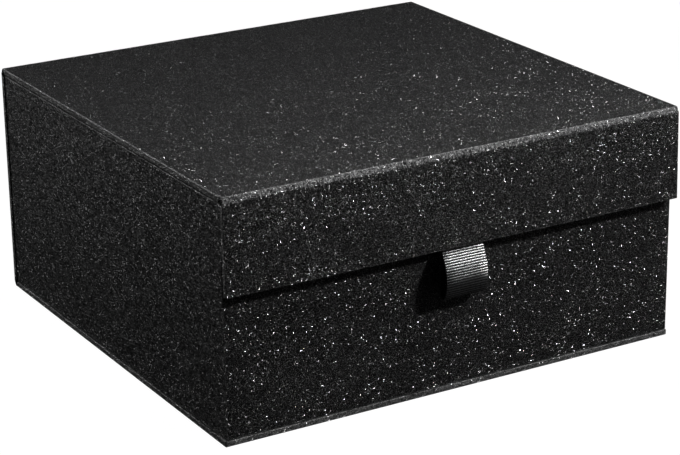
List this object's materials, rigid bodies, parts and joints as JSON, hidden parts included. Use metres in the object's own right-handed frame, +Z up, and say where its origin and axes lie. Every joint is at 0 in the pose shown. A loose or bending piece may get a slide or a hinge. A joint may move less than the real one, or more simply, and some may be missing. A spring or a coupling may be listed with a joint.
{
  "type": "gift box",
  "caption": "Rigid book-style gift box in black glitter paper, with a hinged lid, a front flap held by hidden magnets and a ribbon loop to pull it open.",
  "frame": {"origin": "centre of the base's underside, on the surface that the box stands on", "axes": "+Z up; -Y towards the flap and the ribbon, which is the front; +X to the right as seen from the front"},
  "size_m": [0.22, 0.2194, 0.106],
  "materials": {
    "glitter_paper": "matt black with fine grit and scattered bright flakes",
    "lining_paper": "matt black, uncoated",
    "greyboard": "matt grey, recycled fibres",
    "stay_tape": "brown gummed paper tape",
    "ribbon": "black ribbed grosgrain with a satin sheen",
    "magnet_plating": "bright nickel plating"
  },
  "bodies": {
    "box": {"base_board": "greyboard", "base_wrap": "glitter_paper", "spine_board": "greyboard", "spine_wrap": "glitter_paper", "base_spine_fold": "glitter_paper", "spine_lid_fold": "glitter_paper", "tray_front_board": "greyboard", "tray_back_board": "greyboard", "tray_left_board": "greyboard", "tray_right_board": "greyboard", "tray_bottom_board": "greyboard", "wall_magnet_left": "magnet_plating", "wall_magnet_right": "magnet_plating", "corner_stay_front_left": "stay_tape", "corner_stay_front_right": "stay_tape", "corner_stay_back_left": "stay_tape", "corner_stay_back_right": "stay_tape", "tray_wrap": "glitter_paper", "tray_wall_lining": "lining_paper", "tray_floor_lining": "lining_paper"},
    "lid": {"lid_board": "greyboard", "lid_wrap": "glitter_paper", "lid_lining": "lining_paper", "lid_flap_fold": "glitter_paper"},
    "flap": {"flap_board": "greyboard", "flap_wrap": "glitter_paper", "flap_lining": "lining_paper", "flap_magnet_left": "magnet_plating", "flap_magnet_right": "magnet_plating", "ribbon_tail": "ribbon"},
    "ribbon": {"ribbon_loop": "ribbon"}
  },
  "joints": [
    {"name": "lid_hinge", "type": "hinge", "parent": "box", "child": "lid", "pos_m": [0, 0.10548, 0.10548], "axis": [-1, 0, 0], "range_deg": [0, 178]},
    {"name": "flap_hinge", "type": "hinge", "parent": "lid", "child": "flap", "pos_m": [0, -0.10893, 0.10548], "axis": [-1, 0, 0], "range_deg": [0, 178]},
    {"name": "ribbon_swing", "type": "hinge", "parent": "flap", "child": "ribbon", "pos_m": [0, -0.10834, 0.06497], "axis": [-1, 0, 0], "range_deg": [0, 50]}
  ]
}
